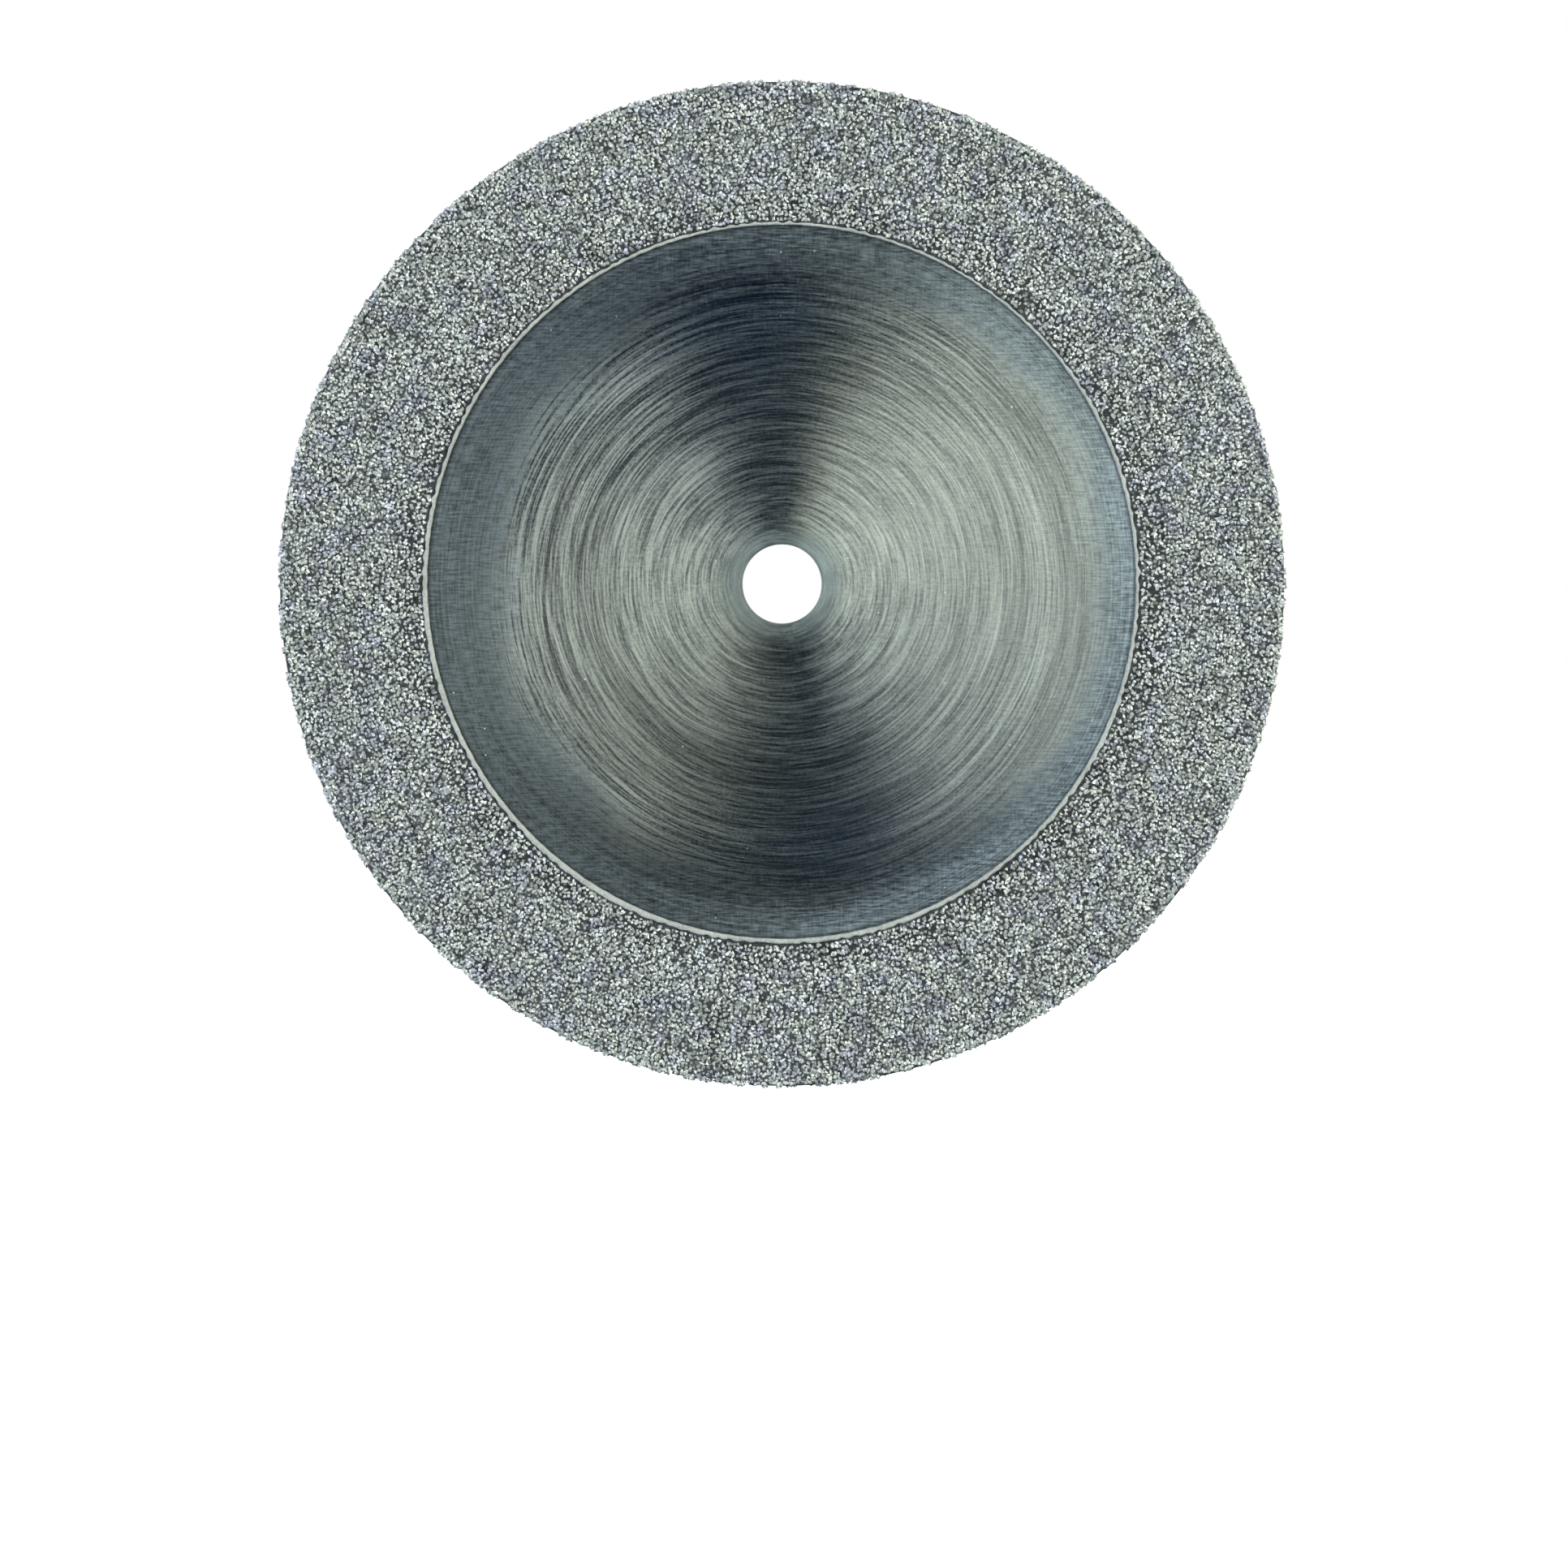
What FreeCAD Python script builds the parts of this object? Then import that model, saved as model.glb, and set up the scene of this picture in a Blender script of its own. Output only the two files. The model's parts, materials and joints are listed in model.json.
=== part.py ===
import FreeCAD, Part
import math
import os

# Electroplated diamond grinding disc, unmounted, coated on both faces and on its rim.
# Frame, in millimetres: the origin is the centre of the disc, halfway through its thickness.
# The disc stands upright in the XZ plane, +Z is up, and it spins about the Y axis.
# The front face looks toward -Y and the back face toward +Y.
# Every piece is a body of revolution about Y, so each is drawn as a half section of
# (radius, height) points, where height is the distance from the middle plane.

# Driving dimensions
OVERALL_DIAMETER = 22.0       # over the diamonds on the rim
BORE_DIAMETER = 1.72          # clears a 1.6 mm mandrel screw
CORE_THICKNESS = 0.15         # spring-steel sheet
COATING_INNER_RADIUS = 7.78   # edge of the plating mask
LIP_WIDTH = 0.12              # nickel bead that built up against the mask
LIP_CROWN_WIDTH = 0.05        # the flat top of the bead, halfway across it
LIP_HEIGHT = 0.060            # crown of the bead above the bare steel
NICKEL_THICKNESS = 0.050      # bond, above the bare steel
GRAIN_EXPOSURE = 0.040        # diamond tips, above the bond
ETCH_DEPTH = 0.005            # keying etch under the plating, each side
BORE_EDGE_WIDTH = 0.09        # rolled edge left by the punch and the deburring
BORE_EDGE_DEPTH = 0.040
BOND_CORNER_RADIUS = 0.030    # the deposit rounds the rim's corners
GRIT_CORNER_RADIUS = 0.060

# Radii and heights worked out from them
RIM_RADIUS = OVERALL_DIAMETER / 2
BOND_RADIUS = RIM_RADIUS - GRAIN_EXPOSURE
CORE_RADIUS = BOND_RADIUS - NICKEL_THICKNESS
BORE_RADIUS = BORE_DIAMETER / 2
GRIT_INNER_RADIUS = COATING_INNER_RADIUS + LIP_WIDTH
FACE_HEIGHT = CORE_THICKNESS / 2
LAND_HEIGHT = FACE_HEIGHT - ETCH_DEPTH
BOND_HEIGHT = FACE_HEIGHT + NICKEL_THICKNESS
GRIT_HEIGHT = BOND_HEIGHT + GRAIN_EXPOSURE
LIP_CROWN_HEIGHT = FACE_HEIGHT + LIP_HEIGHT

DIAGONAL = math.sqrt(0.5)
FRONT = -1
BACK = 1


def point(radius, height):
    """A point of the half section, in the XY plane: X is the radius, Y the height."""
    return FreeCAD.Vector(radius, height, 0)


def line(start, end):
    return Part.LineSegment(point(*start), point(*end)).toShape()


def arc(start, middle, end):
    return Part.Arc(point(*start), point(*middle), point(*end)).toShape()


def revolve(edges):
    """Turn a closed half section once round the Y axis into a solid."""
    section = Part.Face(Part.Wire(edges))
    solid = section.revolve(FreeCAD.Vector(0, 0, 0), FreeCAD.Vector(0, 1, 0), 360)
    return solid.removeSplitter()


def on_side(points, side):
    """The same section points on the front (-Y) or the back (+Y) of the disc."""
    return [(radius, side * height) for radius, height in points]


def polygon(points):
    """Straight edges through the points and back to the first one."""
    return [line(start, end) for start, end in zip(points, points[1:] + points[:1])]


def outer_corner(radius, height, round_radius):
    """Start, middle and end of the quarter round where a face turns down into the rim."""
    centre_radius = radius - round_radius
    centre_height = height - round_radius
    reach = round_radius * DIAGONAL
    return [
        (centre_radius, height),
        (centre_radius + reach, centre_height + reach),
        (radius, centre_height),
    ]


def rolled_bore_edge(side):
    """Start, middle and end of the round from the bore wall up to the bare face, tangent to the face."""
    round_radius = (BORE_EDGE_WIDTH ** 2 + BORE_EDGE_DEPTH ** 2) / (2 * BORE_EDGE_DEPTH)
    half_angle = math.asin(BORE_EDGE_WIDTH / round_radius) / 2
    middle_radius = BORE_RADIUS + BORE_EDGE_WIDTH - round_radius * math.sin(half_angle)
    middle_height = FACE_HEIGHT - round_radius * (1 - math.cos(half_angle))
    points = [
        (BORE_RADIUS, FACE_HEIGHT - BORE_EDGE_DEPTH),
        (middle_radius, middle_height),
        (BORE_RADIUS + BORE_EDGE_WIDTH, FACE_HEIGHT),
    ]
    return on_side(points, side)


def steel_core():
    """Sheet-steel blank: bare clamping faces inside, an etched land under the plating outside."""
    front_edge = rolled_bore_edge(FRONT)
    back_edge = rolled_bore_edge(BACK)
    outline = [
        (COATING_INNER_RADIUS, FACE_HEIGHT),
        (COATING_INNER_RADIUS, LAND_HEIGHT),
        (CORE_RADIUS, LAND_HEIGHT),
    ]
    front = on_side(outline, FRONT)
    back = on_side(outline, BACK)
    return revolve([
        arc(*back_edge),
        line(back_edge[2], back[0]),
        line(back[0], back[1]),
        line(back[1], back[2]),
        line(back[2], front[2]),
        line(front[2], front[1]),
        line(front[1], front[0]),
        line(front[0], front_edge[2]),
        arc(*reversed(front_edge)),
        line(front_edge[0], back_edge[0]),
    ])


def plating_lip(side):
    """Bead of plain nickel round the inner edge of the coating, highest where it met the mask."""
    shoulder_height = (BOND_HEIGHT + FACE_HEIGHT) / 2
    middle_radius = COATING_INNER_RADIUS + LIP_WIDTH / 2
    return revolve(polygon(on_side([
        (COATING_INNER_RADIUS, LAND_HEIGHT),
        (COATING_INNER_RADIUS, shoulder_height),
        (middle_radius - LIP_CROWN_WIDTH / 2, LIP_CROWN_HEIGHT),
        (middle_radius + LIP_CROWN_WIDTH / 2, LIP_CROWN_HEIGHT),
        (GRIT_INNER_RADIUS, BOND_HEIGHT),
        (GRIT_INNER_RADIUS, LAND_HEIGHT),
    ], side)))


def face_bond(side):
    """Nickel on one face, from the bead out and round the corner of the rim."""
    corner = on_side(outer_corner(BOND_RADIUS, BOND_HEIGHT, BOND_CORNER_RADIUS), side)
    inner_foot, inner_top, outer_foot = on_side([
        (GRIT_INNER_RADIUS, LAND_HEIGHT),
        (GRIT_INNER_RADIUS, BOND_HEIGHT),
        (BOND_RADIUS, LAND_HEIGHT),
    ], side)
    return revolve([
        line(inner_foot, inner_top),
        line(inner_top, corner[0]),
        arc(*corner),
        line(corner[2], outer_foot),
        line(outer_foot, inner_foot),
    ])


def face_grit(side):
    """The space that the exposed diamonds of one face and its corner take up."""
    bond_corner = on_side(outer_corner(BOND_RADIUS, BOND_HEIGHT, BOND_CORNER_RADIUS), side)
    grit_corner = on_side(outer_corner(RIM_RADIUS, GRIT_HEIGHT, GRIT_CORNER_RADIUS), side)
    inner_bottom, inner_top, outer_foot, bond_foot = on_side([
        (GRIT_INNER_RADIUS, BOND_HEIGHT),
        (GRIT_INNER_RADIUS, GRIT_HEIGHT),
        (RIM_RADIUS, LAND_HEIGHT),
        (BOND_RADIUS, LAND_HEIGHT),
    ], side)
    return revolve([
        line(inner_bottom, inner_top),
        line(inner_top, grit_corner[0]),
        arc(*grit_corner),
        line(grit_corner[2], outer_foot),
        line(outer_foot, bond_foot),
        line(bond_foot, bond_corner[2]),
        arc(*reversed(bond_corner)),
        line(bond_corner[0], inner_bottom),
    ])


def rim_ring(inner_radius, outer_radius):
    """A plain ring round the edge of the disc, between the two etched lands."""
    return revolve(polygon([
        (inner_radius, -LAND_HEIGHT),
        (outer_radius, -LAND_HEIGHT),
        (outer_radius, LAND_HEIGHT),
        (inner_radius, LAND_HEIGHT),
    ]))


def build_nodes():
    nodes = {
        "steel_core": steel_core(),
        "rim_nickel_bond": rim_ring(CORE_RADIUS, BOND_RADIUS),
        "rim_diamond_grit": rim_ring(BOND_RADIUS, RIM_RADIUS),
    }
    for name, side in (("front", FRONT), ("back", BACK)):
        nodes[name + "_plating_lip"] = plating_lip(side)
        nodes[name + "_nickel_bond"] = face_bond(side)
        nodes[name + "_diamond_grit"] = face_grit(side)
    return nodes


os.makedirs("parts", exist_ok=True)
for node_name, shape in build_nodes().items():
    shape.exportStep(os.path.join("parts", node_name + ".step"))
    print(node_name, "valid" if shape.isValid() else "BROKEN", round(shape.Volume, 4), "mm3")
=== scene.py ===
import json
import math

import bmesh
import bpy
import numpy as np
from mathutils import Matrix, Vector


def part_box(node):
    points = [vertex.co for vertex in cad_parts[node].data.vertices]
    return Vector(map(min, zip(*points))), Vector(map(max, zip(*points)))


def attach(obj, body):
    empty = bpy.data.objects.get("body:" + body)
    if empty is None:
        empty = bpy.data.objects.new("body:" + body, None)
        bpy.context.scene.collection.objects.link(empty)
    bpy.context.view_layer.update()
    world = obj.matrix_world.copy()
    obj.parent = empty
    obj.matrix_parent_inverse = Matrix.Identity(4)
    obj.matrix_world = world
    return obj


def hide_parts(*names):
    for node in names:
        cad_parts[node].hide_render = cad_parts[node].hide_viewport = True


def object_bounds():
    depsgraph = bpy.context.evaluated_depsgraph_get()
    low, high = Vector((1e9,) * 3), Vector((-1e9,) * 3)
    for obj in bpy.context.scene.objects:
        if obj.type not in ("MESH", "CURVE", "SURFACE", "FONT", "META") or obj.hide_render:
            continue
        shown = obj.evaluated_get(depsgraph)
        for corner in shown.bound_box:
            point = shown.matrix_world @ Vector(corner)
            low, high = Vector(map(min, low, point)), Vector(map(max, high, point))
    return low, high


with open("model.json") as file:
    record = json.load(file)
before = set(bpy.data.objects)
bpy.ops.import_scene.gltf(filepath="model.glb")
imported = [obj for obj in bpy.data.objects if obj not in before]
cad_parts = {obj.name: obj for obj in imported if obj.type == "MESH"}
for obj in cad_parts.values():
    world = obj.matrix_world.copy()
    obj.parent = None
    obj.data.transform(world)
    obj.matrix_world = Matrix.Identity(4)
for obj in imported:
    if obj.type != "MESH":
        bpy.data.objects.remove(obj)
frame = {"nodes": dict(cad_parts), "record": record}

# A thin steel disc, plated round its outer band with nickel that holds one layer of diamonds.
# The disc stands upright in the XZ plane, its front face looks toward -Y, and all lengths are in metres.
# Angles round the disc start at +X and turn toward +Z. Material patterns are worked out in millimetres.

MM = 0.001
TURN = 2 * math.pi
SIDES = (("front", -1), ("back", 1))          # which way along Y each face looks
rng = np.random.default_rng(22)

cad_low, cad_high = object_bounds()


# ---------------------------------------------------------------- sizes, read from the frame

def node_radii(node_name):
    """Smallest and largest distance of a CAD node's corners from the Y axis."""
    corners = frame["nodes"][node_name].data.vertices
    radii = [math.hypot(corner.co.x, corner.co.z) for corner in corners]
    return min(radii), max(radii)


def half_height(node_name):
    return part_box(node_name)[1].y


BORE_RADIUS = frame["record"]["mounts"][0]["dims"]["r_mm"] * MM
CORE_RADIUS = node_radii("steel_core")[1]
LIP_RADIUS, GRIT_RADIUS = node_radii("front_plating_lip")
BOND_RADIUS = node_radii("rim_nickel_bond")[1]
RIM_RADIUS = node_radii("rim_diamond_grit")[1]
FACE_HEIGHT = half_height("steel_core")
LAND_HEIGHT = half_height("rim_nickel_bond")
BOND_HEIGHT = half_height("back_nickel_bond")
LIP_HEIGHT = half_height("back_plating_lip")
TIP_HEIGHT = half_height("back_diamond_grit")

# The bore's rolled edge, and the rounded corner of the nickel at the rim
BORE_EDGE = 0.09 * MM
BORE_EDGE_DEPTH = 0.04 * MM
BOND_CORNER = 0.03 * MM

# The nickel is drawn a little short of the rim, so that the crystals make the outline
BOND_EDGE = BOND_RADIUS - 0.04 * MM

# Middle of the band beside the bead where the nickel is painted darker, as painted shadow
SHADED_BAND_MIDDLE = GRIT_RADIUS + 0.2 * MM

# The plating mask was a little small, off centre and oval, and the bead is heaviest on one side
MASK_INSET = 0.045 * MM
MASK_OFFSET = 0.045 * MM
MASK_OVAL = 0.03 * MM
MASK_SHIFT = math.radians(100)
MASK_HEAVY = math.radians(245)


# ---------------------------------------------------------------- mesh helpers

SHARP_ANGLE = math.radians(40)
WAVE_HEADROOM = 1.6                           # keeps nearly all of a random wave within -1 to 1


def make_piece(name, mesh, material, slot, *cad_nodes):
    piece = bpy.data.objects.new(name, mesh)
    bpy.context.scene.collection.objects.link(piece)
    mesh.materials.append(material)
    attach(piece, "root")
    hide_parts(*cad_nodes)
    return piece


def round_the_ring(columns):
    """Evenly spaced angles, one for each column of a ring."""
    return np.arange(columns) * TURN / columns


def lathe(name, radii, heights):
    """A closed ring. Row i, column j of radii and heights is point i of the section at angle step j."""
    rows, columns = radii.shape
    angles = round_the_ring(columns)
    points = np.stack([radii * np.cos(angles), heights, radii * np.sin(angles)], axis=2)
    index = np.arange(rows * columns).reshape(rows, columns)
    next_row = np.roll(index, -1, axis=0)
    next_column = np.roll(index, -1, axis=1)
    corner = np.roll(next_row, -1, axis=1)
    quads = np.stack([index, next_row, corner, next_column], axis=2).reshape(-1, 4)
    mesh = bpy.data.meshes.new(name)
    mesh.from_pydata(points.reshape(-1, 3).tolist(), [], quads.tolist())
    build = bmesh.new()
    build.from_mesh(mesh)
    bmesh.ops.recalc_face_normals(build, faces=build.faces)
    build.to_mesh(mesh)
    build.free()
    mesh.shade_smooth()
    mesh.set_sharp_from_angle(angle=SHARP_ANGLE)
    return mesh


def wave(angles, count, waves):
    """A smooth closed random line round the ring, about -1 to 1, with waves up to that many per turn."""
    total = np.zeros_like(angles)
    for _ in range(count):
        turns = int(rng.integers(2, waves))
        total += np.sin(turns * angles + rng.uniform(0, TURN)) / math.sqrt(count / 2)
    return total / WAVE_HEADROOM


# ---------------------------------------------------------------- material helpers

class Tree:
    """Builds one material's nodes. Sockets and plain numbers can be mixed in every call."""

    def __init__(self, name):
        self.material = bpy.data.materials.new(name)
        self.material.use_nodes = True
        self.nodes = self.material.node_tree.nodes
        self.links = self.material.node_tree.links
        self.shader = self.nodes["Principled BSDF"]

    def put(self, socket, value):
        if isinstance(value, bpy.types.NodeSocket):
            self.links.new(value, socket)
        else:
            socket.default_value = value

    def paint(self, socket_name, value):
        """Set or link one of the shader's own sockets."""
        self.put(self.shader.inputs[socket_name], value)

    def add(self, kind, inputs=(), **settings):
        made = self.nodes.new(kind)
        for key, value in settings.items():
            setattr(made, key, value)
        for key, value in dict(inputs).items():
            self.put(made.inputs[key], value)
        return made

    def math(self, operation, first, second=0.0, clamp=False):
        made = self.add("ShaderNodeMath", {0: first, 1: second}, operation=operation, use_clamp=clamp)
        return made.outputs[0]

    def times(self, first, *others):
        for other in others:
            first = self.math("MULTIPLY", first, other)
        return first

    def weigh(self, *pairs):
        """Weighted sum of (value, weight) pairs."""
        total = self.math("MULTIPLY", *pairs[0])
        for value, weight in pairs[1:]:
            total = self.math("ADD", total, self.math("MULTIPLY", value, weight))
        return total

    def vector(self, operation, first, second=(0, 0, 0)):
        made = self.add("ShaderNodeVectorMath", {0: first, 1: second}, operation=operation)
        return made.outputs["Value" if operation in ("LENGTH", "DOT_PRODUCT") else "Vector"]

    def noise(self, where, scale, detail=2.0, roughness=0.5):
        made = self.add("ShaderNodeTexNoise", {
            "Vector": where, "Scale": scale, "Detail": detail, "Roughness": roughness})
        return made.outputs["Fac"]

    def span(self, value, low, high, to_low=0.0, to_high=1.0, smooth=False):
        """Low to high becomes to_low to to_high, and it stays level beyond both ends."""
        made = self.add("ShaderNodeMapRange", {
            "Value": value, "From Min": low, "From Max": high, "To Min": to_low, "To Max": to_high},
            interpolation_type="SMOOTHSTEP" if smooth else "LINEAR")
        return made.outputs["Result"]

    def crisp(self, value, reach):
        """More contrast: that far on either side of one half becomes 0 and 1."""
        return self.span(value, 0.5 - reach, 0.5 + reach)

    def mix(self, factor, first, second, blend="MIX"):
        made = self.add("ShaderNodeMix", data_type="RGBA", blend_type=blend)
        self.put(made.inputs[0], factor)
        self.put(made.inputs[6], first)
        self.put(made.inputs[7], second)
        return made.outputs[2]

    def place(self):
        """The point being shaded, in millimetres in the row frame."""
        where = self.add("ShaderNodeTexCoord").outputs["Object"]
        return self.vector("MULTIPLY", where, (1 / MM, 1 / MM, 1 / MM))

    def bump(self, height, distance, strength=1.0):
        made = self.add("ShaderNodeBump", {"Strength": strength, "Distance": distance, "Height": height})
        return made.outputs["Normal"]


def grey(value, tint=(1, 1, 1)):
    """A colour of that brightness, with each channel scaled by the tint."""
    return tuple(value * channel for channel in tint) + (1,)


# ---------------------------------------------------------------- steel blank

# Darkest and lightest tone of each finish, then the single tones
LAPPED = grey(0.125, (0.88, 1.0, 1.0)), grey(0.76, (0.91, 1.0, 0.88))
ROLLED = grey(0.10, (0.80, 0.95, 1.02)), grey(0.63, (0.82, 0.98, 1.02))
# Pale tone of single scratches: partly their own colour, partly a painted glint
SCRATCH_GLINT = grey(0.85, (0.95, 1.0, 0.95))
BORE_TONE = grey(0.52, (0.84, 1.0, 0.98))
PITTED = grey(0.9, (0.9, 0.97, 1.0))

# Directions from the middle of the disc
UPPER_LEFT = (-0.7, 0, 0.7)
LOWER_LEFT = (-0.7, 0, -0.7)
PATCH_DIRECTION = (-0.643, 0, -0.766)

# How much contrast the marks get: the smaller the reach, the harder they are
ARC_REACH = 0.11
GRAIN_REACH = 0.16


class SteelTree(Tree):
    """The steel's nodes, with the measures of the shaded point, in millimetres, that its patterns share."""

    def __init__(self):
        super().__init__("lapped_steel")
        self.here = self.place()
        self.flat = self.vector("MULTIPLY", self.here, (1, 0, 1))
        axes = self.add("ShaderNodeSeparateXYZ", {0: self.flat})
        self.x, self.z = axes.outputs["X"], axes.outputs["Z"]
        self.radius = self.vector("LENGTH", self.flat)
        self.outward = self.vector("NORMALIZE", self.flat)

    def toward(self, direction):
        """How far the shaded point lies in that direction from the middle, -1 to 1."""
        return self.vector("DOT_PRODUCT", self.outward, direction)

    def near_radius(self, middle, reach):
        """1 on the circle of that radius, falling to 0 at that reach on either side of it."""
        away = self.math("ABSOLUTE", self.math("SUBTRACT", self.radius, middle))
        return self.span(away, 0.1, reach, 1.0, 0.0, smooth=True)

    def arcs(self, centre, around, across, detail):
        """Noise drawn out into arcs round a centre: around and across are how often it changes."""
        shift = self.vector("SCALE", (centre[0], 0, centre[1]))
        self.put(shift.node.inputs["Scale"], self.span(self.radius, 1.0, 5.0))
        offset = self.vector("SUBTRACT", self.flat, shift)
        distance = self.vector("LENGTH", offset)
        turned = self.vector("MULTIPLY", self.vector("NORMALIZE", offset), (around, around, around))
        lifted = self.add("ShaderNodeCombineXYZ", {"Y": self.math("MULTIPLY", distance, across)})
        return self.noise(self.vector("ADD", turned, lifted.outputs[0]), 1.0, detail, 0.62)

    def lines(self, scale, reach):
        """Noise drawn out along X or Z by a different scale on each axis."""
        return self.crisp(self.noise(self.vector("MULTIPLY", self.here, scale), 1.0, 1.0), reach)


def lapping_marks(tree, fine, grain):
    """Three sets of arcs that cross at small angles, in bundles, fainter to the right."""
    crossing = tree.crisp(tree.arcs((0.55, -0.3), 2.6, 17.0, 2.0), ARC_REACH)
    third = tree.crisp(tree.arcs((-0.5, 0.6), 2.2, 25.0, 1.0), ARC_REACH)
    bundles = tree.crisp(tree.arcs((0.1, 0.1), 0.8, 3.4, 1.0), 0.2)
    marks = tree.weigh((fine, 0.34), (crossing, 0.26), (third, 0.18), (bundles, 0.13), (grain, 0.16))
    falling = tree.toward(UPPER_LEFT)
    on_diagonal = tree.span(tree.radius, 3.4, 5.0, 1.2, 0.92)
    diagonal = tree.span(tree.times(falling, falling), 0, 1, 0.86, on_diagonal)
    contrast = tree.times(tree.span(tree.x, -3.0, 6.0, 1.65, 0.5), diagonal)
    marks = tree.math("ADD", tree.times(tree.math("SUBTRACT", marks, 0.5), contrast), 0.5)
    return tree.span(marks, -0.1, 1.35, smooth=True)


def rolling_grain(tree, fine, grain):
    """Short straight lines along X, with a little across them and a trace of the lapping."""
    along = tree.lines((3.0, 1, 24), 0.17)
    across = tree.lines((22, 1, 3.0), 0.15)
    return tree.weigh((along, 0.46), (across, 0.16), (fine, 0.26), (grain, 0.14))


def outside_lapping(tree, lapping):
    """0 on the lapped area, which sits a little to the right and has a ragged edge, and 1 outside it."""
    lapped_radius = tree.vector("LENGTH", tree.vector("SUBTRACT", tree.flat, (0.33, 0, 0)))
    ragged = tree.weigh((tree.noise(tree.here, 0.4, 2.0), 1.6), (lapping, 0.9))
    return tree.span(tree.math("ADD", lapped_radius, ragged), 7.1, 8.3, smooth=True)


def steel_brightness(tree):
    """Painted shade and light, and broad darker and lighter rings, to be multiplied into the steel's colour.
    """
    # Painted shade: darker toward the left, and a little toward the bottom
    toward_painted_shade = tree.weigh((tree.x, 1.0), (tree.z, 0.3))
    painted_left_shade = tree.span(toward_painted_shade, -8.0, 2.5, 0.54, 1.0, smooth=True)

    # Painted shadow: a dark line follows the bead's inner edge, where the bead shades the steel
    shift = tree.toward((math.cos(MASK_SHIFT), 0, math.sin(MASK_SHIFT)))
    twice = tree.span(tree.times(shift, shift), 0, 1, -1, 1)
    bead_edge = tree.weigh((shift, MASK_OFFSET / MM), (twice, MASK_OVAL / MM),
                           (1.0, (LIP_RADIUS - MASK_INSET) / MM))
    foot = tree.span(tree.math("SUBTRACT", bead_edge, tree.radius), 0.03, 0.07, 0.6, 1.0)

    # Painted light: the margin is brighter toward the lower right, and slightly brighter everywhere but at
    # the bottom
    painted_light_lower_right = tree.span(tree.math("SUBTRACT", tree.x, tree.z), 2.7, 8.5, -0.04, 0.22)
    painted_light_upper = tree.span(tree.z, -4.0, 1.0, 0.0, 0.07)
    lifted = tree.weigh((1.0, 1.0), (painted_light_lower_right, tree.span(tree.radius, 6.6, 7.4)),
                        (painted_light_upper, tree.span(tree.radius, 6.6, 7.0)))

    # Broad darker and lighter rings at a few radii; some show only at the lower left
    lower_left = tree.span(tree.toward(LOWER_LEFT), -0.2, 1.0, 0.0, 0.22)
    lower_left_rings = tree.math("ADD", tree.near_radius(4.07, 0.55), tree.span(tree.radius, 1.4, 2.4, 1.0, 0.0))
    lower_left_patch = tree.span(tree.toward(PATCH_DIRECTION), 0.9, 1.0, 0.0, 0.15)
    rings = tree.weigh((1.0, 1.0), (tree.times(lower_left_rings, lower_left), -1.0),
                       (tree.times(tree.near_radius(4.6, 1.9), lower_left_patch), -1.0),
                       (tree.near_radius(5.75, 0.5), 0.2), (tree.near_radius(6.75, 0.5), -0.12))
    return tree.times(painted_left_shade, foot, lifted, rings)


def pits_and_burrs(tree):
    """1 at a few small random spots, 0 elsewhere."""
    plan = tree.add("ShaderNodeCombineXYZ", {"X": tree.x, "Y": tree.z}).outputs[0]
    cells = tree.add("ShaderNodeTexVoronoi", {"Vector": plan, "Scale": 1.4}, voronoi_dimensions="2D")
    chance = tree.add("ShaderNodeSeparateColor", {0: cells.outputs["Color"]}).outputs[0]
    spot = tree.span(cells.outputs["Distance"], 0.012, 0.034, 1.0, 0.0)
    return tree.times(spot, tree.math("GREATER_THAN", chance, 0.93))


def steel_color(tree, relief, outer, near_bore, speck):
    """The two finishes with a few single scratches, partly a painted glint, the ring round the bore, the
    painted shade and light with broad rings, and the pits.
    """
    tone = tree.mix(outer, tree.mix(relief, *LAPPED), tree.mix(relief, *ROLLED))
    # Single scratches painted pale: partly their own colour, partly a painted glint
    scratches = tree.span(tree.arcs((-0.3, 0.2), 1.3, 18.0, 0.0), 0.74, 0.82)
    scratches = tree.times(scratches, tree.span(outer, 0, 0.6, 1.0, 0.0),
                           tree.span(tree.x, -3.0, 4.0, 0.7, 0.3))
    tone = tree.mix(scratches, tone, SCRATCH_GLINT)
    tone = tree.mix(tree.times(near_bore, 0.7), tone, BORE_TONE)
    # Painted shade and light, multiplied into the tone
    shade = tree.add("ShaderNodeCombineColor")
    brightness = steel_brightness(tree)
    for channel in range(3):
        tree.put(shade.inputs[channel], brightness)
    tone = tree.mix(1.0, tone, shade.outputs[0], "MULTIPLY")
    return tree.mix(speck, tone, PITTED)


def steel_roughness(tree, relief, outer, near_bore, speck):
    """The lapped area shines most. The margin, the ring round the bore and the pits are duller."""
    margin = tree.times(tree.span(tree.radius, 6.6, 7.7, smooth=True), tree.span(tree.z, 7.0, -7.0, 0.8, 1.6))
    rough = tree.span(relief, 0.0, 1.0, 0.355, 0.575)
    for more in (tree.span(tree.z, 7.0, -7.0, -0.04, 0.05),
                 tree.span(tree.radius, 2.8, 5.8, 0.02, -0.10),
                 tree.times(outer, 0.22), tree.times(near_bore, 0.38), tree.times(margin, 0.20)):
        rough = tree.math("ADD", rough, more)
    return tree.math("ADD", rough, tree.times(speck, 0.4), clamp=True)


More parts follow.
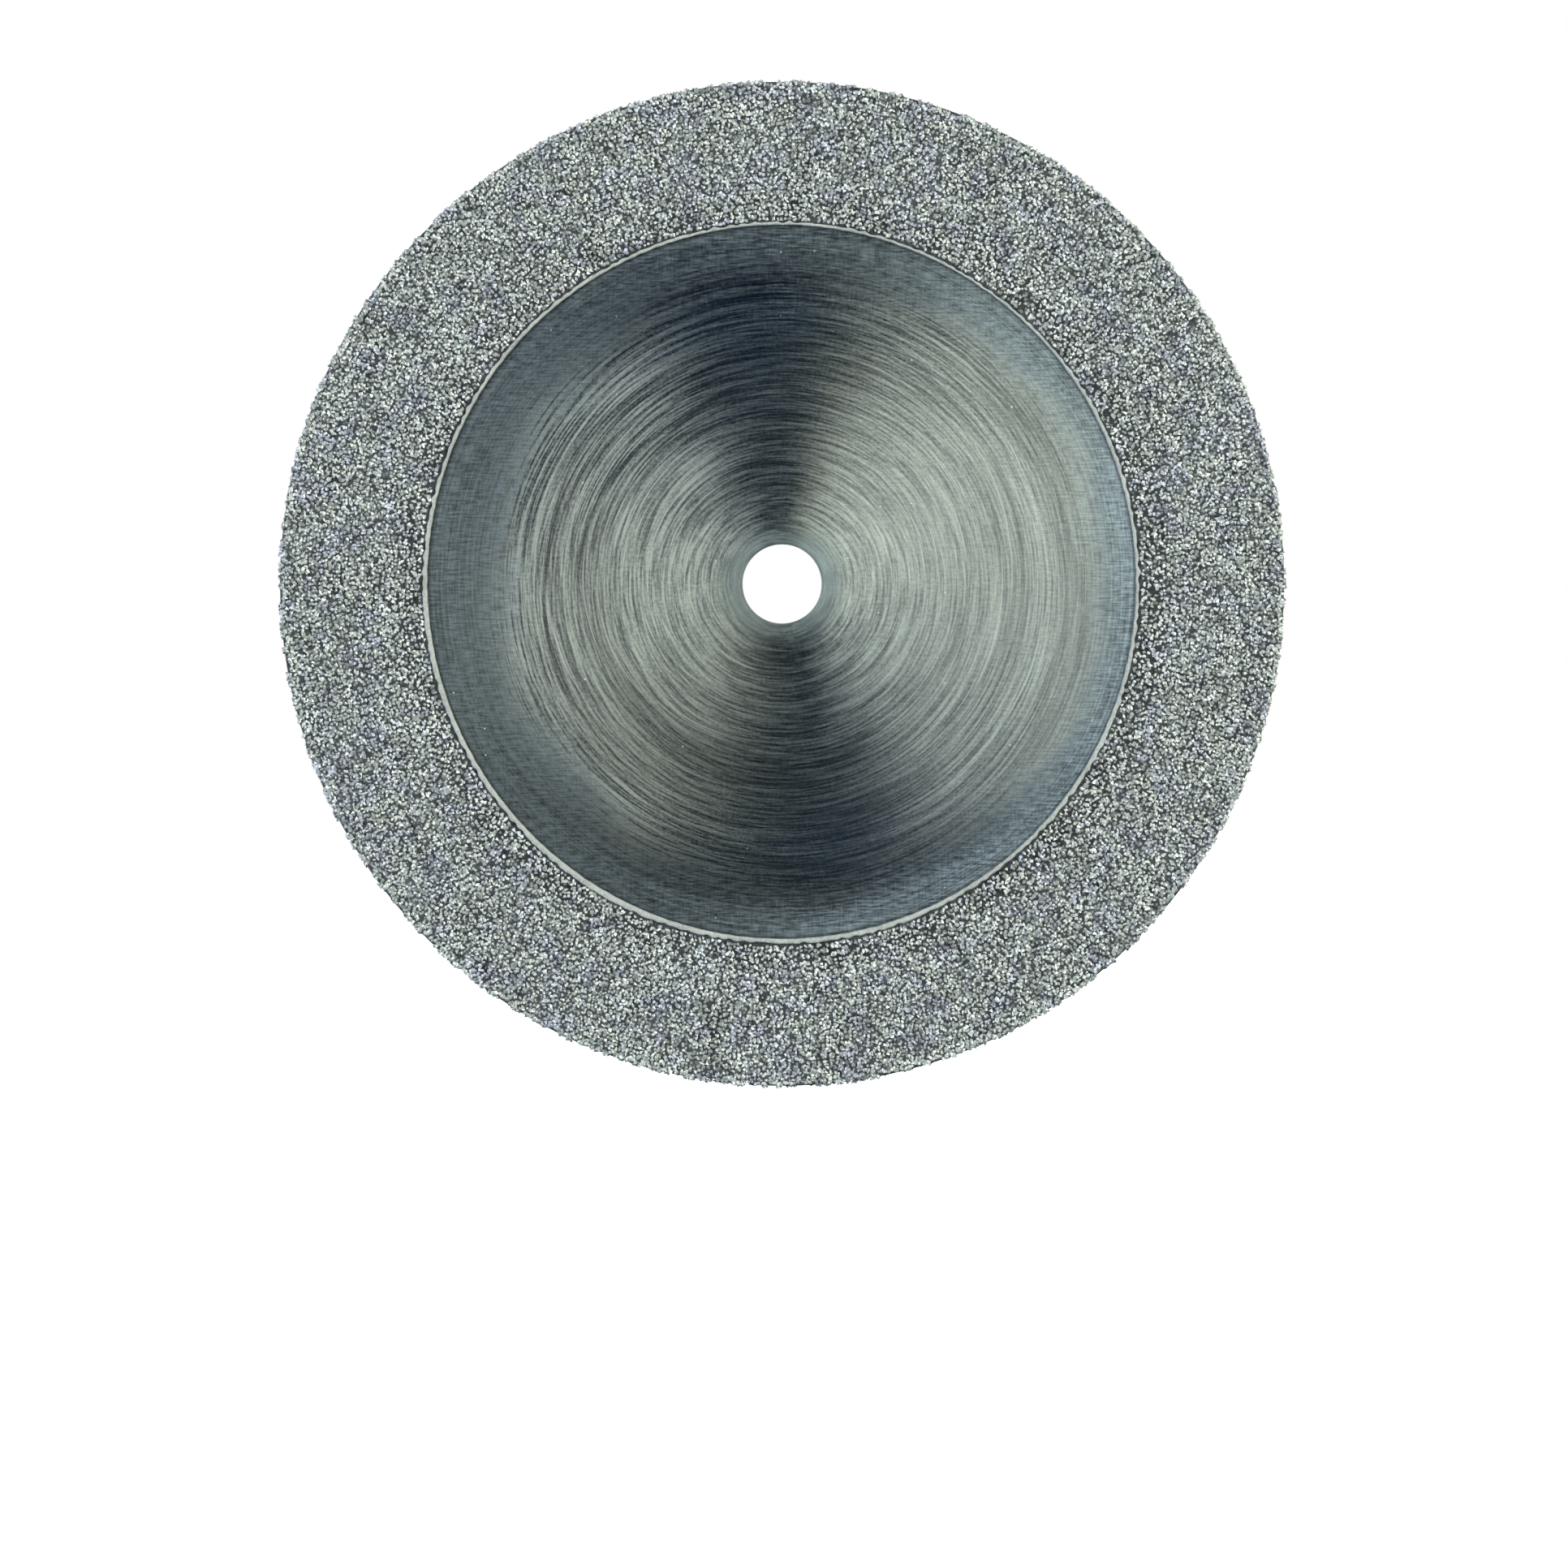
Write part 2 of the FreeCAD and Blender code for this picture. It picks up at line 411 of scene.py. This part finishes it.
def steel_tangent(tree, outer):
    """The direction across the scratches. They are not quite true circles, which turns and widens the
    two bright fans."""
    out = tree.add("ShaderNodeSeparateXYZ", {0: tree.outward})
    sideways = tree.times(out.outputs["X"], tree.span(outer, 0, 1, 1.0, 0.7))
    upward = tree.times(out.outputs["Z"], tree.span(tree.x, -1.0, 1.0, 1.0, 0.84))
    upward = tree.math("SUBTRACT", upward, tree.span(tree.x, -1.0, 1.0, 0.15, 0.05))
    spread = tree.add("ShaderNodeCombineXYZ", {"X": sideways, "Z": upward}).outputs[0]
    return tree.vector("NORMALIZE", spread)


def steel_material():
    """Sheet steel, lapped in circles in the middle, with the sheet's straight rolling grain outside."""
    tree = SteelTree()
    fine = tree.crisp(tree.arcs((0, 0), 2.0, 21.0, 2.0), ARC_REACH)
    grain = tree.crisp(tree.noise(tree.here, 17.0, 1.0), GRAIN_REACH)
    lapping = lapping_marks(tree, fine, grain)
    outer = outside_lapping(tree, lapping)
    near_bore = tree.span(tree.radius, 0.9, 1.55, 1.0, 0.0, smooth=True)
    speck = pits_and_burrs(tree)

    relief = tree.add("ShaderNodeMix", {0: tree.span(outer, 0, 1, 0.2, 1.0)}, data_type="FLOAT")
    tree.put(relief.inputs[2], lapping)
    tree.put(relief.inputs[3], rolling_grain(tree, fine, grain))
    relief = relief.outputs[0]

    tree.paint("Base Color", steel_color(tree, relief, outer, near_bore, speck))
    tree.paint("Roughness", steel_roughness(tree, relief, outer, near_bore, speck))
    # The light marks are slightly matt, so that they show in the dark fans too
    tree.paint("Metallic", tree.span(relief, 0.3, 0.8, 1.0, 0.94))
    tree.paint("Anisotropic", 0.9)
    tree.paint("Tangent", steel_tangent(tree, outer))
    tree.paint("Normal", tree.bump(relief, 0.0012 * MM))
    return tree.material


def rolled_bore_edge(steps):
    """Radii and heights of the round from the bore's wall up to the flat face."""
    roll = (BORE_EDGE ** 2 + BORE_EDGE_DEPTH ** 2) / (2 * BORE_EDGE_DEPTH)
    lean = np.linspace(math.asin(BORE_EDGE / roll), 0, steps)
    return BORE_RADIUS + BORE_EDGE - roll * np.sin(lean), FACE_HEIGHT - roll * (1 - np.cos(lean))


def build_blank(material):
    """Both faces flat, with the bore's edges rolled over; the rim is buried in the plating."""
    columns = 512
    roll_radii, roll_heights = rolled_bore_edge(steps=10)
    face_radii = np.linspace(BORE_RADIUS + BORE_EDGE, GRIT_RADIUS, 24)[1:]
    half_radii = np.concatenate([roll_radii, face_radii, [GRIT_RADIUS, CORE_RADIUS]])
    half_heights = np.concatenate([
        roll_heights, np.full(len(face_radii), FACE_HEIGHT), [LAND_HEIGHT, LAND_HEIGHT]])
    radii = np.concatenate([half_radii, half_radii[::-1]])
    heights = np.concatenate([half_heights, -half_heights[::-1]])
    mesh = lathe("steel_blank", np.tile(radii[:, None], columns), np.tile(heights[:, None], columns))
    return make_piece("steel_blank", mesh, material, "steel", "steel_core")


# ---------------------------------------------------------------- nickel

def nickel_tree(name, lump_scale, lump_detail, lump_depth, lump_strength):
    """A lumpy, stained nickel: its nodes, its tone from 0 to 1, and the point being shaded."""
    tree = Tree(name)
    here = tree.place()
    lumps = tree.noise(here, lump_scale, lump_detail, 0.65)
    stains = tree.noise(here, 1.6, 3.0)
    tone = tree.span(tree.weigh((lumps, 1.0), (stains, 0.6)), 0.5, 1.1)
    tree.paint("Roughness", tree.span(lumps, 0.3, 0.7, 0.42, 0.58))
    tree.paint("Normal", tree.bump(lumps, lump_depth, lump_strength))
    return tree, tone, here


def bond_material():
    """Nickel painted dark as shade between the crystals, and darkest in a narrow band beside the bead, as
    painted shadow.
    """
    tree, tone, here = nickel_tree("bond_nickel", 14.0, 4.0, 0.006 * MM, 0.8)
    # Painted shade: the nickel between the crystals is painted nearly black
    color = tree.mix(tone, grey(0.010, (0.90, 1, 1)), grey(0.18, (0.92, 1, 1)))
    radius = tree.vector("LENGTH", tree.vector("MULTIPLY", here, (1, 0, 1)))
    away = tree.math("ABSOLUTE", tree.math("SUBTRACT", radius, SHADED_BAND_MIDDLE / MM))
    # Painted shadow: darker still in a band beside the bead
    thin = tree.span(away, 0.1, 0.5, 0.35, 0)
    tree.paint("Base Color", tree.mix(thin, color, grey(0.012, (0.9, 1, 1))))
    tree.paint("Metallic", 0.75)
    return tree.material


def bead_material():
    """The same nickel as the bond, painted pale as painted light where the bead's crown catches it, with a
    fine matt skin, which hardly mirrors.
    """
    tree, tone, _ = nickel_tree("bead_nickel", 16.0, 3.0, 0.008 * MM, 0.9)
    # Painted light: the pale tones stand for light caught by the bead's crown
    tree.paint("Base Color", tree.mix(tone, grey(0.34, (0.94, 1, 0.94)), grey(0.74, (0.95, 1, 0.92))))
    tree.paint("Metallic", 0.08)
    return tree.material


def bead_inner(angles):
    """The bead's inner edge, where the plating mask was."""
    shift = angles - MASK_SHIFT
    return LIP_RADIUS - MASK_INSET + MASK_OFFSET * np.cos(shift) + MASK_OVAL * np.cos(2 * shift)


def bead_swell(angles):
    """How heavy the bead is, 0 to 1, leaving out its waves."""
    return 0.5 + 0.26 * np.cos(angles - MASK_HEAVY)


def bead_width(swell):
    """From 0.40 of the CAD bead's width where it is lightest to 1.28 of it where it is heaviest."""
    return (GRIT_RADIUS - LIP_RADIUS) * (0.40 + 0.88 * swell)


def bead_end(angles):
    """The bead's outer edge, leaving out its waves."""
    return bead_inner(angles) + bead_width(bead_swell(angles))


def follow_bead(radii, angles):
    """Radii near the coating's inner edge, drawn in to where the bead ends at those angles."""
    near = np.clip(1 - (radii - GRIT_RADIUS) / (0.5 * MM), 0, 1)
    return radii + (bead_end(angles) - GRIT_RADIUS) * near


def build_lip(side_name, side, material):
    """Bead of nickel that built up along the mask: wide and tall in places, thin in others."""
    columns = 1440
    angles = round_the_ring(columns)
    swell = bead_swell(angles) + 0.16 * wave(angles, 6, 9)
    swell = np.clip(swell + 0.22 * wave(angles, 18, 240), 0.0, 1.0)
    inner = bead_inner(angles) + 0.005 * MM * wave(angles, 16, 160)
    width = bead_width(swell)
    crown = (LIP_HEIGHT - FACE_HEIGHT) * (0.7 + 0.3 * swell)
    turn = np.linspace(0, math.pi, 9)[:, None]
    radii = inner + width * (1 - np.cos(turn)) / 2
    heights = FACE_HEIGHT + crown * np.sin(turn) ** 0.8
    foot = np.full(columns, LAND_HEIGHT)
    radii = np.concatenate([radii, [inner + width, inner]])
    heights = np.concatenate([heights, [foot, foot]])
    name = side_name + "_bead"
    mesh = lathe(name, radii, side * heights)
    return make_piece(name, mesh, material, "nickel", side_name + "_plating_lip")


def build_face_bond(side_name, side, material):
    """The nickel between the diamonds of one face: a lumpy skin that rounds the rim's corner."""
    rows, columns = 44, 1024
    lump_depth = 0.014 * MM
    flat_end = BOND_EDGE - BOND_CORNER
    flat_radii = np.linspace(GRIT_RADIUS - 0.005 * MM, flat_end, rows)
    turn = np.linspace(0, math.pi / 2, 5)[1:]
    radii = np.concatenate([flat_radii, flat_end + BOND_CORNER * np.sin(turn)])
    heights = np.concatenate([
        np.full(rows, BOND_HEIGHT), BOND_HEIGHT - BOND_CORNER + BOND_CORNER * np.cos(turn)])
    radii = follow_bead(np.tile(radii[:, None], columns), round_the_ring(columns))
    heights = np.tile(heights[:, None], columns)
    heights = heights + rng.uniform(-1, 0, heights.shape) * lump_depth
    foot = np.full(columns, LAND_HEIGHT)
    radii = np.concatenate([radii, [np.full(columns, BOND_EDGE), radii[0]]])
    heights = np.concatenate([heights, [foot, foot]])
    name = side_name + "_bond"
    mesh = lathe(name, radii, side * heights)
    return make_piece(name, mesh, material, "nickel", side_name + "_nickel_bond")


def build_rim_bond(material):
    columns = 1024
    heights = np.linspace(LAND_HEIGHT, -LAND_HEIGHT, 5)
    radii = np.full((5, columns), BOND_EDGE)
    radii[1:-1] -= rng.uniform(0, 0.006 * MM, (3, columns))
    radii = np.concatenate([radii, np.full((2, columns), CORE_RADIUS)])
    heights = np.concatenate([heights, [-LAND_HEIGHT, LAND_HEIGHT]])
    mesh = lathe("rim_bond", radii, np.tile(heights[:, None], columns))
    return make_piece("rim_bond", mesh, material, "nickel", "rim_nickel_bond")


# ---------------------------------------------------------------- diamonds

TEMPLATES = 40
TEMPLATE_CORNERS = 8
TEMPLATE_TRIES = 12                           # random points to choose each well spread corner from

# Half widths and half heights of the crystals, from the smallest to the largest
FACE_CRYSTAL_WIDTHS = (0.040 * MM, 0.072 * MM)
FACE_CRYSTAL_HEIGHTS = (0.032 * MM, 0.044 * MM)
RIM_CRYSTAL_WIDTHS = (0.040 * MM, 0.055 * MM)
RIM_CRYSTAL_HEIGHTS = (0.034 * MM, 0.044 * MM)

# Spacing on the face beside the bead, on the rest of the face, and on the rim
INNER_SPACING = 0.086 * MM
OUTER_SPACING = 0.083 * MM
RIM_SPACING = 0.12 * MM
RING_PITCH = 0.87                             # from ring to ring, as a share of the spacing

# Limits for the middles of the face's crystals: beyond the bead, and inside the rim
FIRST_CRYSTALS = 0.055 * MM
LAST_CRYSTALS = (0.072 * MM, 0.115 * MM)
SUNK = 0.024 * MM                             # how much deeper some crystals sit than others

# The outline has a hollow at each of these places round the rim. The depth in mm of a hollow, and of a single
# crystal of the rim's rows, is the square of a random number up to its root, so that most are shallow.
HOLLOW_PLACES = 640
HOLLOW_ROOT = 0.3
RIM_GRAIN_ROOT = 0.26

# Rows of crystals across the rim: height in mm and lean in degrees
CORNER_LEAN = 42
CORNER_INSET = 0.02 * MM
RIM_ROWS = ((-0.098, CORNER_LEAN), (-0.05, 12), (0.0, 0), (0.05, -12), (0.098, -CORNER_LEAN))


def crystal_template():
    """A blocky crystal: the hull of a few well spread points near a ball of radius 1."""
    points = []
    while len(points) < TEMPLATE_CORNERS:
        tries = rng.normal(size=(TEMPLATE_TRIES, 3))
        tries /= np.linalg.norm(tries, axis=1)[:, None]
        if points:
            gaps = np.linalg.norm(tries[:, None] - np.array(points)[None], axis=2).min(axis=1)
            points.append(tries[gaps.argmax()])
        else:
            points.append(tries[0])
    build = bmesh.new()
    for point in points:
        build.verts.new(point * rng.uniform(0.86, 1.0))
    bmesh.ops.convex_hull(build, input=build.verts)
    build.verts.index_update()
    corners = np.array([vert.co[:] for vert in build.verts])
    faces = np.array([[vert.index for vert in face.verts] for face in build.faces])
    build.free()
    return corners, faces


def unit(vectors):
    """Each row scaled to length 1."""
    return vectors / np.linalg.norm(vectors, axis=1)[:, None]


def turned_axes(normal, spin):
    """Two directions at right angles to each normal and to each other, turned by spin about the normal."""
    helper = np.where(np.abs(normal[:, 1:2]) > 0.7, [[1.0, 0, 0]], [[0, 1.0, 0]])
    east = unit(np.cross(helper, normal))
    north = np.cross(normal, east)
    cosine, sine = np.cos(spin)[:, None], np.sin(spin)[:, None]
    return east * cosine + north * sine, north * cosine - east * sine


def mesh_from_triangles(name, points, faces, tones):
    """A flat-shaded mesh of triangles, with a tone stored at each point."""
    mesh = bpy.data.meshes.new(name)
    mesh.vertices.add(len(points))
    mesh.vertices.foreach_set("co", points.astype(np.float32).ravel())
    mesh.loops.add(faces.size)
    mesh.loops.foreach_set("vertex_index", faces.astype(np.int32).ravel())
    mesh.polygons.add(len(faces))
    mesh.polygons.foreach_set("loop_start", np.arange(0, faces.size, 3, dtype=np.int32))
    mesh.update(calc_edges=True)
    tone = mesh.attributes.new("tone", "FLOAT", "POINT")
    tone.data.foreach_set("value", tones.astype(np.float32))
    mesh.shade_flat()
    mesh.validate()
    return mesh


def crystals_mesh(name, templates, centres, normals, sizes):
    """One mesh of separate crystals, each standing on its normal, with a tone for each crystal."""
    which = rng.integers(0, len(templates), len(centres))
    spin = rng.uniform(0, TURN, len(centres))
    tones = rng.uniform(0, 1, len(centres))
    all_points, all_faces, all_tones, used = [], [], [], 0
    for number, (corners, faces) in enumerate(templates):
        picked = np.nonzero(which == number)[0]
        if len(picked) == 0:
            continue
        east, north = turned_axes(normals[picked], spin[picked])
        local = corners[None] * sizes[picked][:, None]
        points = (centres[picked][:, None]
                  + local[:, :, 0:1] * east[:, None]
                  + local[:, :, 1:2] * north[:, None]
                  + local[:, :, 2:3] * normals[picked][:, None])
        shift = used + np.arange(len(picked)) * len(corners)
        all_points.append(points.reshape(-1, 3))
        all_faces.append((faces[None] + shift[:, None, None]).reshape(-1, 3))
        all_tones.append(np.repeat(tones[picked], len(corners)))
        used += len(picked) * len(corners)
    return mesh_from_triangles(name, np.concatenate(all_points), np.concatenate(all_faces),
                               np.concatenate(all_tones))


def diamond_material():
    """Milky grey-green crystals, bluish in patches. Each has its own tone, and its facets shine."""
    tree = Tree("diamond_grit")
    tone = tree.add("ShaderNodeAttribute", attribute_name="tone").outputs["Fac"]
    here = tree.place()
    cloud = tree.noise(here, 30.0, 2.0)
    patch = tree.span(tree.noise(here, 1.7, 1.0), 0.48, 0.64)
    drift = tree.span(tree.noise(here, 3.0, 3.0, 0.65), 0.3, 0.7, -0.27, 0.27)
    value = tree.math("ADD", tree.weigh((tone, 0.8), (cloud, 0.2)), drift, clamp=True)
    greenish = tree.mix(value, grey(0.29, (0.90, 1.0, 0.90)), grey(0.84, (0.93, 1.0, 0.93)))
    bluish = tree.mix(value, grey(0.22, (0.82, 0.89, 0.98)), grey(0.83, (0.85, 0.91, 0.98)))
    tree.paint("Base Color", tree.mix(patch, greenish, bluish))
    tree.paint("Roughness", tree.span(cloud, 0.3, 0.7, 0.20, 0.40))
    tree.paint("IOR", 2.42)
    tree.paint("Metallic", 0.3)
    return tree.material


def spread_on_face():
    """Places for the crystals of one face, as radius and angle: ring by ring, each one shifted at random
    by up to about a third of the spacing."""
    radii, angles = [], []
    radius = GRIT_RADIUS + 0.06 * MM
    while radius < RIM_RADIUS - 0.03 * MM:
        share = min(1, (radius - GRIT_RADIUS) / (0.9 * MM))
        spacing = INNER_SPACING + (OUTER_SPACING - INNER_SPACING) * share
        count = int(TURN * radius / spacing)
        ring = (np.arange(count) + rng.uniform(0, 1)) * TURN / count
        ring += rng.uniform(-0.36, 0.36, count) * TURN / count
        radii.append(radius + rng.uniform(-0.34, 0.34, count) * spacing)
        angles.append(ring)
        radius += spacing * RING_PITCH
    return np.concatenate(radii), np.concatenate(angles) % TURN


def drop_fallen(radii, angles):
    """Leave out the few crystals that have fallen out, slightly more of them near the bead."""
    fallen = np.where(radii < GRIT_RADIUS + 0.4 * MM, 0.04, 0.03)
    kept = rng.uniform(0, 1, len(radii)) > fallen
    return radii[kept], angles[kept]


def stand_back(hollows, angles):
    """How far the crystals at those angles stand back from the rim."""
    return hollows[(angles / TURN * len(hollows)).astype(int) % len(hollows)]


def crystal_sizes(count, widths, heights):
    """The three half sizes of each crystal: two along the surface and one out from it."""
    return np.stack([
        rng.uniform(*widths, count), rng.uniform(*widths, count), rng.uniform(*heights, count)], axis=1)


def build_face_diamonds(side_name, side, material, templates, hollows):
    """One layer of crystals with their tips level with the CAD's, in a piece for each quarter turn."""
    radii, angles = drop_fallen(*spread_on_face())
    count = len(radii)
    outermost = RIM_RADIUS - rng.uniform(*LAST_CRYSTALS, count) - stand_back(hollows, angles)
    radii = np.clip(follow_bead(radii, angles), bead_end(angles) + FIRST_CRYSTALS, outermost)
    sizes = crystal_sizes(count, FACE_CRYSTAL_WIDTHS, FACE_CRYSTAL_HEIGHTS)
    heights = TIP_HEIGHT - sizes[:, 2] - rng.uniform(0, SUNK, count)
    centres = np.stack([radii * np.cos(angles), side * heights, radii * np.sin(angles)], axis=1)
    normals = np.tile([0.0, side, 0.0], (count, 1))
    quarter = (angles / TURN * 4).astype(int)
    for number in range(4):
        name = f"{side_name}_diamonds_{number + 1}"
        here = quarter == number
        mesh = crystals_mesh(name, templates, centres[here], normals[here], sizes[here])
        make_piece(name, mesh, material, "diamond", side_name + "_diamond_grit")


def rim_row(height, lean, hollows):
    """Centres, normals and sizes of one row of crystals round the rim, a hair inside the CAD's."""
    count = int(TURN * RIM_RADIUS / RIM_SPACING)
    angles = (np.arange(count) + rng.uniform(0, 1, 1) + rng.uniform(-0.35, 0.35, count)) * TURN / count
    sizes = crystal_sizes(count, RIM_CRYSTAL_WIDTHS, RIM_CRYSTAL_HEIGHTS)
    y = (height + rng.uniform(-0.012, 0.012, count)) * MM
    inset = CORNER_INSET * abs(lean) / CORNER_LEAN
    radius = RIM_RADIUS - 1.02 * sizes[:, 2] - inset - stand_back(hollows, angles)
    radius -= rng.uniform(0, RIM_GRAIN_ROOT, count) ** 2 * MM
    tilt = math.radians(lean)
    centres = np.stack([radius * np.cos(angles), y, radius * np.sin(angles)], axis=1)
    normals = np.stack([math.cos(tilt) * np.cos(angles), np.full(count, -math.sin(tilt)),
                        math.cos(tilt) * np.sin(angles)], axis=1)
    return centres, normals, sizes


def build_rim_diamonds(material, templates, hollows):
    """Crystals on the rim itself and on its two rounded corners."""
    rows = [rim_row(height, lean, hollows) for height, lean in RIM_ROWS]
    centres, normals, sizes = (np.concatenate(part) for part in zip(*rows))
    mesh = crystals_mesh("rim_diamonds", templates, centres, normals, sizes)
    return make_piece("rim_diamonds", mesh, material, "diamond", "rim_diamond_grit")


# ---------------------------------------------------------------- stage, light, camera

FLOOR_HALF_SIZE = 1.2
PANEL_DISTANCE = 0.35
PANEL_WIDTH = 0.32
PANEL_HEIGHT = 0.8
PANEL_AZIMUTH = 47                            # degrees to either side of straight on
RIGHT_PANEL = {"power": 2.47, "color": (0.99, 1.0, 0.86), "lean": 10}
LEFT_PANEL = {"power": 1.82, "color": (0.95, 1.0, 1.09), "lean": 1}
ROOM_COLOR = (0.27, 0.52, 1.0, 1)
ROOM_STRENGTH = 0.082
CAMERA_DISTANCE = 0.25
CAMERA_SIDEWAYS = 0.042 * MM
CAMERA_HEIGHT = -4.353 * MM                   # below the disc's middle: the disc sits high in the photo
PICTURE_WIDTH = 34.12 * MM                    # how much the picture takes in at the disc


def build_stage():
    """A plain pale floor that glows a little, so that it stays as pale as the background."""
    mesh = bpy.data.meshes.new("floor")
    half = FLOOR_HALF_SIZE
    corners = [(-half, -half, 0), (half, -half, 0), (half, half, 0), (-half, half, 0)]
    mesh.from_pydata(corners, [], [(0, 1, 2, 3)])
    floor = bpy.data.objects.new("floor", mesh)
    floor.location.z = cad_low.z
    bpy.context.scene.collection.objects.link(floor)
    tree = Tree("pale_floor")
    away = tree.vector("LENGTH", tree.vector("MULTIPLY", tree.place(), (1, 1, 0)))
    tree.paint("Base Color", grey(0.9))
    tree.paint("Roughness", 0.9)
    tree.paint("Emission Color", grey(1.0))
    tree.paint("Emission Strength", tree.span(away, 20, 90, 0.9, 1.05, smooth=True))
    mesh.materials.append(tree.material)
    floor.visible_glossy = False              # its glow doesn't reach the disc
    floor.visible_diffuse = False


def build_world():
    """White behind the object, and a dim bluish room in its reflections."""
    world = bpy.data.worlds.new("studio")
    bpy.context.scene.world = world
    world.use_nodes = True
    nodes, links = world.node_tree.nodes, world.node_tree.links
    room = nodes["Background"]
    room.inputs["Color"].default_value = ROOM_COLOR
    room.inputs["Strength"].default_value = ROOM_STRENGTH
    white = nodes.new("ShaderNodeBackground")
    white.inputs["Color"].default_value = (1, 1, 1, 1)
    white.inputs["Strength"].default_value = 1.0
    path = nodes.new("ShaderNodeLightPath")
    choose = nodes.new("ShaderNodeMixShader")
    links.new(path.outputs["Is Camera Ray"], choose.inputs[0])
    links.new(room.outputs[0], choose.inputs[1])
    links.new(white.outputs[0], choose.inputs[2])
    links.new(choose.outputs[0], nodes["World Output"].inputs["Surface"])


def add_panel(name, azimuth, power, color, lean):
    """A soft upright panel that faces the disc. Azimuth is in degrees: 0 is in front, positive to the right.
    Lean, in degrees, turns it anticlockwise about the disc's axis, as seen from the front."""
    light = bpy.data.lights.new(name, "AREA")
    light.shape = "RECTANGLE"
    light.size, light.size_y = PANEL_WIDTH, PANEL_HEIGHT
    light.energy, light.color = power, color
    turn = math.radians(azimuth)
    place = Matrix.Translation(PANEL_DISTANCE * Vector((math.sin(turn), -math.cos(turn), 0)))
    facing = Matrix.Rotation(turn, 4, "Z") @ Matrix.Rotation(math.pi / 2, 4, "X")
    panel = bpy.data.objects.new(name, light)
    panel.matrix_world = Matrix.Rotation(math.radians(-lean), 4, "Y") @ place @ facing
    panel.visible_camera = False
    bpy.context.scene.collection.objects.link(panel)


def build_lights():
    """One panel on each side of each face. The right one, seen from the front, is stronger and warmer."""
    for half, azimuth in (("front", PANEL_AZIMUTH), ("back", 180 - PANEL_AZIMUTH)):
        add_panel(half + "_right_panel", azimuth, **RIGHT_PANEL)
        add_panel(half + "_left_panel", -azimuth, **LEFT_PANEL)


def build_camera():
    camera_data = bpy.data.cameras.new("camera")
    camera_data.sensor_width = 36
    camera_data.lens = camera_data.sensor_width * CAMERA_DISTANCE / PICTURE_WIDTH
    camera = bpy.data.objects.new("camera", camera_data)
    camera.location = (CAMERA_SIDEWAYS, -CAMERA_DISTANCE, CAMERA_HEIGHT)
    camera.rotation_euler = (math.pi / 2, 0, 0)
    camera_data.clip_start = 0.001
    bpy.context.scene.collection.objects.link(camera)
    bpy.context.scene.camera = camera


def build_disc():
    build_blank(steel_material())
    bead_nickel, bond_nickel, diamond = bead_material(), bond_material(), diamond_material()
    templates = [crystal_template() for _ in range(TEMPLATES)]
    hollows = rng.uniform(0, HOLLOW_ROOT, HOLLOW_PLACES) ** 2 * MM
    for side_name, side in SIDES:
        build_lip(side_name, side, bead_nickel)
        build_face_bond(side_name, side, bond_nickel)
        build_face_diamonds(side_name, side, diamond, templates, hollows)
    build_rim_bond(bond_nickel)
    build_rim_diamonds(diamond, templates, hollows)


build_disc()
build_stage()
build_world()
build_lights()
build_camera()
bpy.context.scene.view_settings.view_transform = "Standard"
